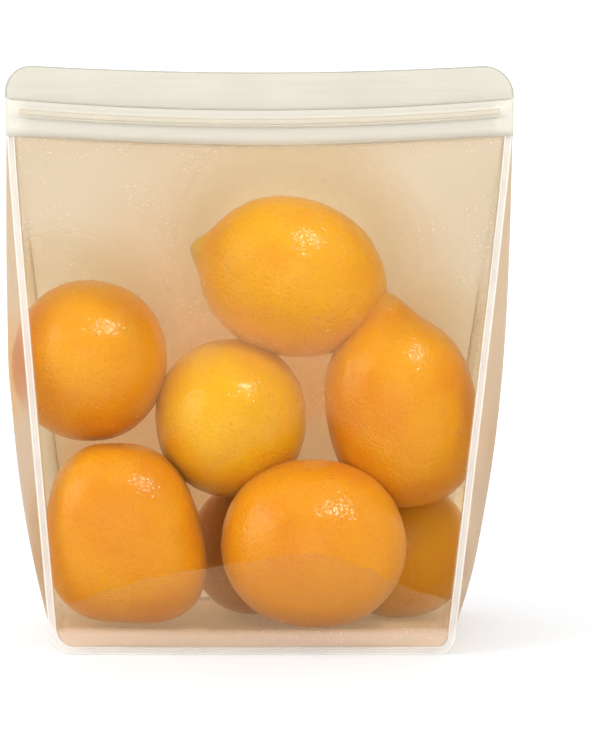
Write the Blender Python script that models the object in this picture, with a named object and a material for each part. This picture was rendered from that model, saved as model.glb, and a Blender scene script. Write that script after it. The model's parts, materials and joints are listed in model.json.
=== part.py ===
"""Stand-up food storage bag, zipped shut and full of fruit.

The bag is two trapezoid panels, front and back, welded to one gusset strip that runs down one side,
across the bottom and up the other side. Each weld stands out as a narrow flat rim, and the bag stands
on the two bottom rims. Above the gusset the panels lie together as a zip band and two lips, which are
sealed to each other at both sides. Filled and shut, the belly is one closed body.

Frame: metres, +Z up, the front panel faces -Y. The origin is on the surface that the bag stands on,
below the middle of the mouth.
"""

import math

import bmesh
import bpy
from mathutils import Vector

# Driving dimensions, in metres ------------------------------------------------------------------
HEIGHT = 0.2387  # top edge of the lips near the side seals
MOUTH_WIDTH = 0.2116  # across the side seals
BASE_WIDTH = 0.1640  # across the weld rims, at the bottom
BASE_DEPTH = 0.108  # between the front and the back bottom seam
BELLY_TOP = 0.210  # at the sides: the gusset ends here and the zip band begins

WELD_WIDTH = 0.0034  # how far a weld rim stands out from its seam
WELD_THICKNESS = 0.0010
PANEL_CORNERS = (0.0068, 0.0035)  # radii of the bottom corners at the seam, left and right
LIP_CORNERS = (0.0115, 0.0135)  # radii of the lips' corners, left and right
LEAN = 0.0030  # the base stands this far to the left of the mouth

# Shape of the belly ---------------------------------------------------------------------------
SEAM_OPENING = 0.7  # exponent: below 1, the seams part quickly under the zip and then run steeply
PANEL_BULGE = 0.021  # how far a panel stands out in front of its seams
BULGE_FULLNESS = 0.6  # exponent: smaller is fuller at the top and bottom of the panel
SIDE_WIDTH_TOP = 0.1056  # half width at the middle of the gusset, at the top
SIDE_WIDTH_DROP = 0.0215  # how much of that it has lost at the bottom
SIDE_TAPER = 3.2  # exponent of that loss, most of it in the lower third
FLOOR_WAVE = 0.0065  # the floor film rises behind its front seam and sags before its back one
FLOOR_SAG = 0.0003  # and it hangs this much on the whole

# Where fruit presses a panel outwards: x, z and push. The spots are about as wide as a fruit.
FRONT_SPOTS = (
    (0.023, 0.046, 0.0028),
    (0.060, 0.104, 0.0016),
    (-0.067, 0.124, 0.0014),
    (0.014, 0.160, 0.0012),
)
BACK_SPOTS = ((-0.006, 0.036, 0.0016), (0.058, 0.040, 0.0014), (-0.010, 0.098, 0.0018))
SPOT_RADIUS = 0.026

# Mouth: zip band and lips -----------------------------------------------------------------------
ZIP_SAG = 0.0046  # the zip hangs this much lower at mid width than at the sides
LIP_SAG = 0.0034  # and the top edge this much
MOUTH_BOW = 0.0035  # seen from above, the closed mouth bows this much to the front
SIDE_SEAL = 0.0070  # width of the strip where the two lips are sealed together
SEAL_HALF = 0.0010  # half the thickness there
SEAL_ONSET = 40  # exponent: larger keeps the mouth at its full thickness nearer to the seal
SEAM_HALF = 0.0008  # half the distance between the seams where they run into that strip
BAND_HEIGHT = 0.0142  # of the zip band, above the belly
BEAD_LEVEL = 0.0094  # middle of the zip's bead, above the belly
BEAD_HEIGHT = 0.0034
BAND_HALF = 0.0022  # half the thickness of the zip band, outside
BEAD_HALF = 0.0029  # half the thickness over the bead, outside
LIP_HALF = 0.0011  # half the thickness of the two lips, outside
FILM = 0.00075  # wall of the band and the lips
MOUTH_ROOT = 0.0035  # how deep the mouth runs into the belly
MOUTH_SLOPE = 0.0008  # height of the slopes where the mouth's thickness changes

CUT_OVER = 0.002  # the gap between the lips is cut this far past their top edge

# Zip rails --------------------------------------------------------------------------------------
GAP = 0.0003  # between pieces that touch
RAIL_WEB = 0.0005  # thickness of a rail's flat web
RAIL_END = 0.0008  # a rail stops this far short of the side seal
RIB_NECK = 0.00035  # half heights of the front rail's rib, at its neck and at its head
RIB_HEAD = 0.0006
RIB_TIP = 0.0008  # how far the head reaches behind the middle plane
JAW_OUTSIDE = 0.0013  # half heights of the back rail's jaws: outside, between their lips and inside
JAW_MOUTH = 0.00065
JAW_INSIDE = 0.0009
JAW_TIP = -0.0002  # y of the jaws' lips and of the seat behind them
JAW_SEAT = 0.0011

# Mesh steps -------------------------------------------------------------------------------------
COLUMNS = 22  # across a panel
CORNER_STEPS = 5  # round a panel's corner
BELLY_ROWS = 20  # up a panel, above its corners
GUSSET_STEPS = 6  # across the gusset
RAIL_STEPS = 28  # along a rail
MERGE = 1e-6

# Materials: name, colour and roughness
FILM_FINISH = ("frosted_film", (0.90, 0.80, 0.68, 1.0), 0.35)
ZIP_FINISH = ("milky_zip", (0.91, 0.89, 0.82, 1.0), 0.40)


# The bag's form ---------------------------------------------------------------------------------
def rim_half_width(z):
    """Half width across the weld rims: the panel is a trapezoid up to the zip band."""
    share = min(z / BELLY_TOP, 1.0)
    return (BASE_WIDTH + (MOUTH_WIDTH - 2 * GAP - BASE_WIDTH) * share) / 2


def seam_half_width(z):
    return rim_half_width(z) - WELD_WIDTH


def dip(x):
    """Share of the sag and of the bow at x: 1 in the middle of the mouth and 0 at its ends."""
    return 1 - (2 * x / MOUTH_WIDTH) ** 2


def belly_top(x):
    """Height of the line between belly and zip band."""
    return BELLY_TOP - ZIP_SAG * dip(x)


def mouth_bow(x, z):
    """How far the mouth leans to the front. The bow fades out down the belly."""
    return -MOUTH_BOW * dip(x) * min(z / BELLY_TOP, 1.0) ** 3


def seam_depth(rise):
    """Distance of the front and back seams from the middle plane, at a share of the belly's height."""
    return SEAM_HALF + (BASE_DEPTH / 2 - SEAM_HALF) * max(1 - rise, 0.0) ** SEAM_OPENING


def side_bulge(z):
    """How far the gusset stands out beyond the seams, at its middle."""
    share = max(1 - z / BELLY_TOP, 0.0)
    return SIDE_WIDTH_TOP - SIDE_WIDTH_DROP * share**SIDE_TAPER - seam_half_width(z)


def panel_depth(s, x, z, top, spots):
    """Distance of a panel from the middle plane. s is the share of the half width, top the height of
    the panel's upper edge in this column."""
    rise = min(max((z - WELD_WIDTH) / (top - WELD_WIDTH), 0.0), 1.0)
    bulge = PANEL_BULGE * max(math.sin(math.pi * rise), 0.0) ** BULGE_FULLNESS * (1 - s * s)
    band = (BAND_HALF + GAP - SEAM_HALF) * (1 - s**8) * rise**4
    pressed = 0.0
    for spot_x, spot_z, push in spots:
        away = math.hypot(x - spot_x, z - spot_z) / SPOT_RADIUS
        pressed += push * math.exp(-away * away) * (1 - s * s)
    return seam_depth(z / top) + bulge + band + pressed


def corner_inset(radius, lift):
    """How far a quarter-round corner is set in at the height lift above the edge it ends on."""
    return radius - math.sqrt(max(radius**2 - max(radius - lift, 0.0) ** 2, 0.0))


def corner_rows(radii):
    """(height, left inset, right inset) of the rows round two corners, from their edge inwards."""
    rows = []
    for k in range(CORNER_STEPS + 1):
        lift = max(radii) * (1 - math.cos(math.pi / 2 * k / CORNER_STEPS))
        rows.append((lift, corner_inset(radii[0], lift), corner_inset(radii[1], lift)))
    return rows


def across(s, half_width, left, right):
    """x at the share s of a row, whose ends are set in by left and right."""
    return s * half_width + left * (1 - s) / 2 - right * (1 + s) / 2


def panel_rows(side, spots):
    """Rows of points of a panel, bottom to top. side is -1 for the front panel and +1 for the back."""
    levels = [(*corner, 0.0) for corner in corner_rows(PANEL_CORNERS)]
    levels += [(max(PANEL_CORNERS), 0.0, 0.0, k / BELLY_ROWS) for k in range(1, BELLY_ROWS + 1)]
    rows = []
    for lift, left, right, share in levels:
        row = []
        for i in range(COLUMNS + 1):
            s = -1 + 2 * i / COLUMNS
            top = belly_top(s * seam_half_width(BELLY_TOP))
            z = WELD_WIDTH + lift
            z += (top - z) * share
            x = across(s, seam_half_width(z), left, right)
            y = side * panel_depth(s, x, z, top, spots) + mouth_bow(x, z)
            row.append(Vector((x, y, z)))
        rows.append(row)
    return rows


def seam_path(rows):
    """The edge of a panel below the zip: down its left side, along the bottom and up its right side."""
    left = [row[0] for row in reversed(rows)]
    right = [row[-1] for row in rows]
    return left + rows[0][1:-1] + right


def outward(path, k):
    """Unit vector in the panel's plane that points away from the panel, at point k of its seam."""
    before, after = path[max(k - 1, 0)], path[min(k + 1, len(path) - 1)]
    return Vector((before.z - after.z, 0, after.x - before.x)).normalized() * -1


def gusset_sections(front_rows, back_rows):
    """Sections from the front panel's seam to the back panel's, one at each point of the seam: round
    the front rim, across the gusset and round the back rim."""
    front, back = seam_path(front_rows), seam_path(back_rows)
    sections = []
    for k, (start, end) in enumerate(zip(front, back)):
        away = outward(front, k)
        thick = Vector((0, min(WELD_THICKNESS, 0.4 * (end.y - start.y)), 0))
        wide = away * WELD_WIDTH
        film = []
        for j in range(GUSSET_STEPS + 1):
            v = -1 + 2 * j / GUSSET_STEPS
            arch = 1 - v * v
            floor = (FLOOR_SAG + FLOOR_WAVE * v) * arch
            swell = side_bulge(start.z) * arch * away.x**2 + floor * away.z**2
            film.append((start + thick).lerp(end - thick, j / GUSSET_STEPS) + away * swell)
        front_rim = [start, start + wide, start + wide + thick]
        back_rim = [end + wide - thick, end + wide, end]
        sections.append(front_rim + film + back_rim)
    return sections


# Modelling helpers ------------------------------------------------------------------------------
def loft(bm, sections, ring=False):
    """Faces between each section and the next. ring closes each section on itself."""
    grid = [[bm.verts.new(point) for point in section] for section in sections]
    for lower, upper in zip(grid, grid[1:]):
        last = len(lower) if ring else len(lower) - 1
        for i in range(last):
            j = (i + 1) % len(lower)
            bm.faces.new((lower[i], lower[j], upper[j], upper[i]))
    return grid


def mesh_object(name, bm, collection):
    """A closed mesh object from bm, with its seams welded, its faces pointing out and the bag's lean."""
    for vert in bm.verts:
        vert.co.x -= LEAN * (1 - min(vert.co.z / BELLY_TOP, 1.0))
    bmesh.ops.remove_doubles(bm, verts=bm.verts, dist=MERGE)
    bmesh.ops.recalc_face_normals(bm, faces=bm.faces)
    mesh = bpy.data.meshes.new(name)
    bm.to_mesh(mesh)
    bm.free()
    mesh.shade_smooth()
    mesh.set_sharp_from_angle(angle=math.radians(40))
    obj = bpy.data.objects.new(name, mesh)
    collection.objects.link(obj)
    return obj


def finish(obj, name, colour, roughness):
    material = bpy.data.materials.get(name) or bpy.data.materials.new(name)
    material.use_nodes = True
    shader = material.node_tree.nodes["Principled BSDF"]
    shader.inputs["Base Color"].default_value = colour
    shader.inputs["Roughness"].default_value = roughness
    shader.inputs["Metallic"].default_value = 0.0
    obj.data.materials.append(material)


def helper(obj):
    """A piece that only joins or cuts another."""
    obj.hide_render = True
    obj.display_type = "WIRE"


def boolean(obj, name, operation, collection):
    modifier = obj.modifiers.new(name, "BOOLEAN")
    modifier.operation = operation
    modifier.operand_type = "COLLECTION"
    modifier.collection = collection
    modifier.solver = "EXACT"


# Pieces -----------------------------------------------------------------------------------------
def add_belly(collection):
    """The closed body between the two panels, the gusset and the line under the zip, with the flat
    weld rims that stand out along the seams."""
    front = panel_rows(-1, FRONT_SPOTS)
    back = panel_rows(1, BACK_SPOTS)
    sections = gusset_sections(front, back)
    bm = bmesh.new()
    loft(bm, front)
    loft(bm, back)
    loft(bm, [front[-1], back[-1]])
    grid = loft(bm, sections)
    bm.faces.new(grid[0])
    bm.faces.new(grid[-1])
    return mesh_object("bag", bm, collection)


def mouth_levels():
    """Heights above the belly, with half the thickness of the mouth at each, outside."""
    bead_low, bead_high = BEAD_LEVEL - BEAD_HEIGHT / 2, BEAD_LEVEL + BEAD_HEIGHT / 2
    return [
        (bead_low - MOUTH_SLOPE, BAND_HALF),
        (bead_low, BEAD_HALF),
        (bead_high, BEAD_HALF),
        (bead_high + MOUTH_SLOPE, BAND_HALF),
        (BAND_HEIGHT, BAND_HALF),
        (BAND_HEIGHT + MOUTH_SLOPE, LIP_HALF),
    ]


def mouth_slab(name, wall, bottom, end, over, collection):
    """A slab in the form of the closed mouth. wall is taken off each face and end off each side,
    bottom is its lowest level above the belly, and over is how far it runs past the top edge."""
    rows = [(level, None, 0.0, 0.0, half) for level, half in [(bottom, BAND_HALF)] + mouth_levels()]
    if over:
        rows.append((None, -over, 0.0, 0.0, LIP_HALF))
    else:
        rows += [(None, *corner, LIP_HALF) for corner in reversed(corner_rows(LIP_CORNERS))]
    faces = []
    for side in (-1, 1):
        sheet = []
        for level, down, left, right, half in rows:
            row = []
            for i in range(COLUMNS + 1):
                s = -1 + 2 * i / COLUMNS
                x = across(s, MOUTH_WIDTH / 2 - end, left, right)
                z = belly_top(x) + level if down is None else HEIGHT - LIP_SAG * dip(x) - down
                open_share = 1 - abs(2 * x / MOUTH_WIDTH) ** SEAL_ONSET
                thick = SEAL_HALF + (half - SEAL_HALF) * open_share - wall
                row.append(Vector((x, side * thick + mouth_bow(x, z), z)))
            sheet.append(row)
        faces.append(sheet)
    front, back = faces
    bm = bmesh.new()
    for pair in (front, back, [front[0], back[0]], [front[-1], back[-1]]):
        loft(bm, pair)
    for column in (0, -1):
        loft(bm, [[row[column] for row in front], [row[column] for row in back]])
    helper(mesh_object(name, bm, collection))


def rail_profile(side):
    """Outline of a rail in y and height about the bead. The front rail has a headed rib, and the back
    rail the two jaws that hold it."""
    face = BAND_HALF - FILM - GAP
    bead = BEAD_HALF - FILM - GAP
    web = face - RAIL_WEB
    low = 2 * GAP - BEAD_LEVEL
    high = BAND_HEIGHT - BEAD_LEVEL - GAP
    shoulder = BEAD_HEIGHT / 2 - 2 * GAP
    outside = [(face, low), (face, -shoulder), (bead, -shoulder)]
    outside += [(bead, shoulder), (face, shoulder), (face, high)]
    if side < 0:
        half = [(-web, RIB_NECK), (GAP, RIB_NECK), (GAP, RIB_HEAD), (RIB_TIP, RIB_HEAD)]
    else:
        half = [(web, JAW_OUTSIDE), (JAW_TIP, JAW_OUTSIDE), (JAW_TIP, JAW_MOUTH), (0.0, JAW_MOUTH)]
        half += [(0.0, JAW_INSIDE), (JAW_SEAT, JAW_INSIDE)]
    mirrored = [(y, -up) for y, up in reversed(half)]
    inside = [(side * web, high)] + half + mirrored + [(side * web, low)]
    return [(side * y, up) for y, up in outside] + inside


def add_rail(name, side, collection):
    """A zip rail: its profile swept along the closed mouth, between the side seals."""
    half_length = MOUTH_WIDTH / 2 - SIDE_SEAL - RAIL_END
    profile = rail_profile(side)
    sections = []
    for k in range(RAIL_STEPS + 1):
        x = half_length * (-1 + 2 * k / RAIL_STEPS)
        bead = belly_top(x) + BEAD_LEVEL
        sections.append([Vector((x, y + mouth_bow(x, BELLY_TOP), bead + up)) for y, up in profile])
    bm = bmesh.new()
    grid = loft(bm, sections, ring=True)
    bm.faces.new(grid[0])
    bm.faces.new(grid[-1])
    rail = mesh_object(name, bm, collection)
    finish(rail, *ZIP_FINISH)


def main():
    for obj in list(bpy.data.objects):
        bpy.data.objects.remove(obj, do_unlink=True)
    scene = bpy.context.scene
    pieces = bpy.data.collections.new("food_storage_bag")
    joined = bpy.data.collections.new("joined_to_the_belly")
    cutters = bpy.data.collections.new("cut_from_the_mouth")
    for collection in (pieces, joined, cutters):
        scene.collection.children.link(collection)

    bag = add_belly(pieces)
    mouth_slab("mouth", 0.0, -MOUTH_ROOT, 0.0, 0.0, joined)
    mouth_slab("mouth_gap", FILM, GAP, SIDE_SEAL, CUT_OVER, cutters)
    boolean(bag, "mouth_on_belly", "UNION", joined)
    boolean(bag, "gap_between_lips", "DIFFERENCE", cutters)
    finish(bag, *FILM_FINISH)
    add_rail("zip_rail_front", -1, pieces)
    add_rail("zip_rail_back", 1, pieces)


main()
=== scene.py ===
"""Looks of the stand-up food storage bag: frosted film, weld rims, zip and the fruit inside.

Laid out as a Blender add-on and run as a script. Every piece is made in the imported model's own frame:
metres, +Z up, the front panel facing -Y. The bag's shape repeats the formulas of the solid model on a
finer grid, and the film is then drawn tight over the fruit.
"""

import json
import math

import bmesh
import bpy
from bpy.props import FloatProperty, FloatVectorProperty, PointerProperty
from mathutils import Matrix, Vector
from mathutils.bvhtree import BVHTree

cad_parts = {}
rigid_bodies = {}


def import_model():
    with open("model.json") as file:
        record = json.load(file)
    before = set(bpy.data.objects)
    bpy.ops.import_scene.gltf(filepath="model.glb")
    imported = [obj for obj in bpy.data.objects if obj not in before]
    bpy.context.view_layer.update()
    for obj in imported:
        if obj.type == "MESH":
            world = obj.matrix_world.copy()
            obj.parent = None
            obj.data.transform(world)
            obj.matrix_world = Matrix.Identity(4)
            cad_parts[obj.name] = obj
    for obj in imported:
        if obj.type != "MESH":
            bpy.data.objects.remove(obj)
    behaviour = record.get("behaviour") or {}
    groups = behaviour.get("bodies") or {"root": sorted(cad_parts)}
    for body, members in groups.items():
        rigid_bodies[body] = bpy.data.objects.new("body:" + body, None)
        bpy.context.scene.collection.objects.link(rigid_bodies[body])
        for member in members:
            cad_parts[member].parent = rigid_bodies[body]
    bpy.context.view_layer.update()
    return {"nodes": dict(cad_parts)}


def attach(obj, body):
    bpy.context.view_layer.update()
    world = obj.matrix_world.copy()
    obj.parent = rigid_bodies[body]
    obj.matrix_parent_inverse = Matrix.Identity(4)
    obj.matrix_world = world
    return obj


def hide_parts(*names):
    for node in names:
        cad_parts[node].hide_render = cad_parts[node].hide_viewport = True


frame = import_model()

bl_info = {
    "name": "Stand-up food storage bag",
    "version": (1, 0, 0),
    "blender": (4, 5, 0),
    "location": "3D View > Sidebar > Food bag",
    "description": "Builds a zipped stand-up bag of frosted film with the citrus fruit inside it",
    "category": "Add Mesh",
}

BODY = "root"
WHITE = (1.0, 1.0, 1.0)

# The bag's form, in metres, as in the solid model --------------------------------------------------
HEIGHT = 0.2387
MOUTH_WIDTH = 0.2116
BASE_WIDTH = 0.1640
BASE_DEPTH = 0.108
BELLY_TOP = 0.210
WELD_WIDTH = 0.0034
WELD_THICKNESS = 0.0010
PANEL_CORNERS = (0.0068, 0.0035)
LIP_CORNERS = (0.0115, 0.0135)
LEAN = 0.0030
SEAM_OPENING = 0.7
PANEL_BULGE = 0.021
BULGE_FULLNESS = 0.6
SIDE_WIDTH_TOP = 0.1056
SIDE_WIDTH_DROP = 0.0215
SIDE_TAPER = 3.2
FLOOR_WAVE = 0.0065
FLOOR_SAG = 0.0003
ZIP_SAG = 0.0046
LIP_SAG = 0.0034
MOUTH_BOW = 0.0035
SIDE_SEAL = 0.0070
SEAL_HALF = 0.0010
SEAL_ONSET = 40
SEAM_HALF = 0.0008
BAND_HEIGHT = 0.0142
BEAD_LEVEL = 0.0094
BEAD_HEIGHT = 0.0034
BAND_HALF = 0.0022
BEAD_HALF = 0.0029
LIP_HALF = 0.0011
MOUTH_SLOPE = 0.0008
GAP = 0.0003
FILM = 0.0005  # thickness of the film

# Mesh steps, and the angle past which an edge is shaded sharp
SHARP_ANGLE = math.radians(35)
COLUMNS = 132
BELLY_ROWS = 150
CORNER_STEPS = 10
GUSSET_STEPS = 26
FINE = 7  # subdivisions of the fruit's mesh
COARSE = 6  # the same for the fruit behind the others

# The fruit: form, centre, half width, half depth, half length, all in metres, then the turns that
# lean it, in degrees about X, Y and Z, and how orange it is; past 1 this goes on to a painted shade,
# for fruit that lies in shade behind the others. The long axis is Z before the turns.
FRUIT = {
    "front_orange": ("orange", (0.0224, -0.0265, 0.0416), (0.0383, 0.0360, 0.0344), (8, 4, 0), 1.0),
    "left_orange": ("boxy_orange", (-0.0563, -0.0200, 0.0447), (0.0324, 0.0305, 0.0372), (0, 0, 0), 0.85),
    "upper_orange": ("orange", (-0.0715, 0.0030, 0.1144), (0.0326, 0.0330, 0.0335), (25, 10, 0), 0.8),
    "yellow_lemon": ("round_lemon", (-0.0120, 0.0045, 0.0899), (0.0319, 0.0330, 0.0380), (-84, 0, 0), 0.0),
    "right_lemon": ("boxy_lemon", (0.0600, 0.0010, 0.0928), (0.0318, 0.0310, 0.0405), (0, -10, 0), 0.8),
    "top_lemon": ("lemon", (0.0140, 0.0085, 0.1492), (0.0332, 0.0315, 0.0395), (0, -73, 0), 0.5),
    # Painted shade: the last value, past 1, darkens this fruit's peel as if it lay in shade
    "hidden_left": ("orange", (-0.0007, 0.0300, 0.0300), (0.0292, 0.0280, 0.0292), (0, 0, 0), 1.5),
    "hidden_right": ("orange", (0.0598, 0.0255, 0.0305), (0.0311, 0.0285, 0.0300), (0, 0, 0), 0.6),
}
# The fruits' forms, as values for these inputs of the fruit's node tree
FORM_INPUTS = (
    "Squareness", "Taper", "Lean", "Tip height", "Tip width", "Stem height", "Stem width", "Unevenness",
    "Green tip", "Green stem",
)
FRUIT_FORMS = {
    "orange": (2.12, 0.0, 0.0, -0.012, 0.10, -0.03, 0.22, 0.055, 0.0, 0.8),
    "boxy_orange": (2.65, 0.13, -0.12, -0.03, 0.30, -0.03, 0.22, 0.06, 0.0, 0.8),
    "lemon": (2.05, 0.0, 0.0, 0.13, 0.20, 0.04, 0.30, 0.05, 0.7, 0.8),
    "boxy_lemon": (2.3, 0.0, 0.0, 0.27, 0.30, -0.02, 0.30, 0.06, 0.25, 0.8),
    "round_lemon": (2.08, 0.0, 0.0, 0.08, 0.25, 0.0, 0.30, 0.06, 0.5, 0.0),
}

# The camera looks a little down on the bag, which stands to the left of the frame's middle
VIEW_WIDTH = 615
VIEW_HEIGHT = 735
VIEW_DISTANCE = 1.3
VIEW_ELEVATION = math.radians(6)
VIEW_TARGET = Vector((0.0, 0.0, 0.12))
TARGET_PIXEL = (259.5, 348.0)
PIXELS_PER_METRE = 2381
SENSOR = 24.0


# Form of the bag ----------------------------------------------------------------------------------
def rim_half_width(z):
    share = min(z / BELLY_TOP, 1.0)
    return (BASE_WIDTH + (MOUTH_WIDTH - 2 * GAP - BASE_WIDTH) * share) / 2


def seam_half_width(z):
    return rim_half_width(z) - WELD_WIDTH


def dip(x):
    """Share of the sag and of the bow at x: 1 in the middle of the mouth and 0 at its ends."""
    return 1 - (2 * x / MOUTH_WIDTH) ** 2


def belly_top(x):
    return BELLY_TOP - ZIP_SAG * dip(x)


def mouth_bow(x, z):
    return -MOUTH_BOW * dip(x) * min(z / BELLY_TOP, 1.0) ** 3


def lean(z):
    """The base stands to the left of the mouth by this much."""
    return -LEAN * (1 - min(z / BELLY_TOP, 1.0))


def seam_depth(rise):
    return SEAM_HALF + (BASE_DEPTH / 2 - SEAM_HALF) * max(1 - rise, 0.0) ** SEAM_OPENING


def side_bulge(z):
    share = max(1 - z / BELLY_TOP, 0.0)
    return SIDE_WIDTH_TOP - SIDE_WIDTH_DROP * share**SIDE_TAPER - seam_half_width(z)


def panel_depth(s, z, top):
    """Distance of a slack panel from the middle plane. s is the share of the half width."""
    rise = min(max((z - WELD_WIDTH) / (top - WELD_WIDTH), 0.0), 1.0)
    bulge = PANEL_BULGE * max(math.sin(math.pi * rise), 0.0) ** BULGE_FULLNESS * (1 - s * s)
    band = (BAND_HALF + GAP - SEAM_HALF) * (1 - s**8) * rise**4
    return seam_depth(z / top) + bulge + band


def corner_inset(radius, lift):
    return radius - math.sqrt(max(radius**2 - max(radius - lift, 0.0) ** 2, 0.0))


def corner_rows(radii):
    """(height, left inset, right inset) of the rows round two corners, from their edge inwards."""
    rows = []
    for k in range(CORNER_STEPS + 1):
        lift = max(radii) * (1 - math.cos(math.pi / 2 * k / CORNER_STEPS))
        rows.append((lift, corner_inset(radii[0], lift), corner_inset(radii[1], lift)))
    return rows


def across(s, half_width, left, right):
    return s * half_width + left * (1 - s) / 2 - right * (1 + s) / 2


# Node helpers -------------------------------------------------------------------------------------
class Nodes:
    """A node tree, with short ways to add and join nodes."""

    def __init__(self, tree):
        self.tree = tree

    def add(self, kind, settings=None, **inputs):
        """A node, with its settings and inputs. An input is a socket to link or a value to set, and its
        name is the socket's with _ for a blank."""
        node = self.tree.nodes.new(kind)
        for key, value in (settings or {}).items():
            setattr(node, key, value)
        for key, value in inputs.items():
            self.put(node.inputs[key.replace("_", " ")], value)
        return node

    def put(self, socket, value):
        if isinstance(value, bpy.types.NodeSocket):
            self.tree.links.new(value, socket)
        elif value is not None:
            socket.default_value = value

    def math(self, operation, *values, clamp=False):
        node = self.add("ShaderNodeMath", {"operation": operation, "use_clamp": clamp})
        for socket, value in zip(node.inputs, values):
            self.put(socket, value)
        return node.outputs[0]

    def vector(self, operation, *values):
        node = self.add("ShaderNodeVectorMath", {"operation": operation})
        for socket, value in zip(node.inputs, values):
            self.put(socket, value)
        return node.outputs["Vector"]

    def scaled(self, vector, factor):
        node = self.add("ShaderNodeVectorMath", {"operation": "SCALE"})
        self.put(node.inputs[0], vector)
        self.put(node.inputs["Scale"], factor)
        return node.outputs["Vector"]

    def spread(self, value, low, high, to_low=0.0, to_high=1.0, smooth=True):
        """value between low and high, carried to the range to_low to to_high."""
        node = self.add("ShaderNodeMapRange")
        node.interpolation_type = "SMOOTHSTEP" if smooth else "LINEAR"
        for key, number in zip(("Value", "From Min", "From Max", "To Min", "To Max"),
                               (value, low, high, to_low, to_high)):
            self.put(node.inputs[key], number)
        return node.outputs["Result"]

    def noise(self, vector, scale, detail=2.0, roughness=0.5):
        settings = {"Scale": scale, "Detail": detail, "Roughness": roughness}
        return self.add("ShaderNodeTexNoise", Vector=vector, **settings).outputs[0]

    def cells(self, vector, scale):
        return self.add("ShaderNodeTexVoronoi", Vector=vector, Scale=scale).outputs["Distance"]

    def blend(self, factor, first, second, mode="MIX"):
        node = self.add("ShaderNodeMix", {"data_type": "RGBA", "blend_type": mode})
        self.put(node.inputs[0], factor)
        self.put(node.inputs[6], first)
        self.put(node.inputs[7], second)
        return node.outputs[2]

    def bump(self, height, strength, distance, normal=None):
        node = self.add("ShaderNodeBump", Height=height, Strength=strength, Distance=distance)
        if normal is not None:
            self.put(node.inputs["Normal"], normal)
        return node.outputs["Normal"]


def new_tree(name, numbers, material):
    """A Geometry Nodes tree with a mesh, these numbers and a material as its inputs, its Nodes and the
    sockets that it is given."""
    tree = bpy.data.node_groups.new(name, "GeometryNodeTree")
    sockets = tree.interface
    sockets.new_socket("Geometry", in_out="INPUT", socket_type="NodeSocketGeometry")
    for label, default in numbers:
        kind = "NodeSocketInt" if isinstance(default, int) else "NodeSocketFloat"
        sockets.new_socket(label, in_out="INPUT", socket_type=kind).default_value = default
    sockets.new_socket(material, in_out="INPUT", socket_type="NodeSocketMaterial")
    sockets.new_socket("Geometry", in_out="OUTPUT", socket_type="NodeSocketGeometry")
    nodes = Nodes(tree)
    return tree, nodes, nodes.add("NodeGroupInput").outputs


def end_tree(nodes, shape, material):
    """Ends a tree with a smooth, real mesh of one material."""
    smooth = nodes.add("GeometryNodeSetShadeSmooth", Geometry=shape.outputs[0])
    real = nodes.add("GeometryNodeRealizeInstances", Geometry=smooth.outputs[0])
    finished = nodes.add("GeometryNodeSetMaterial", Geometry=real.outputs[0], Material=material)
    nodes.add("NodeGroupOutput", Geometry=finished.outputs[0])


def new_material(name):
    """A material with an empty tree, its Nodes and its output."""
    material = bpy.data.materials.new(name)
    material.use_nodes = True
    material.node_tree.nodes.clear()
    nodes = Nodes(material.node_tree)
    output = nodes.add("ShaderNodeOutputMaterial")
    return material, nodes, output


def colour(values):
    return (*values, 1.0)


def see_through(n, output, shade, normal, roughness, gloss, glow, pane, cover):
    """Finishes a see-through material: of the light that cover stops, the share glow shines through from
    the far side and the rest meets a face of this roughness and gloss, and pane is the colour of the
    light that passes straight on."""
    face = n.add(
        "ShaderNodeBsdfPrincipled",
        Base_Color=shade,
        Roughness=roughness,
        Specular_IOR_Level=gloss,
        Normal=normal,
    )
    through = n.add("ShaderNodeBsdfTranslucent", Color=shade, Normal=normal)
    body = n.add("ShaderNodeMixShader", Fac=glow)
    n.put(body.inputs[1], face.outputs[0])
    n.put(body.inputs[2], through.outputs[0])
    clear_part = n.add("ShaderNodeBsdfTransparent", Color=colour(pane))
    film = n.add("ShaderNodeMixShader", Fac=cover)
    n.put(film.inputs[1], clear_part.outputs[0])
    n.put(film.inputs[2], body.outputs[0])
    n.put(output.inputs["Surface"], film.outputs[0])


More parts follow.
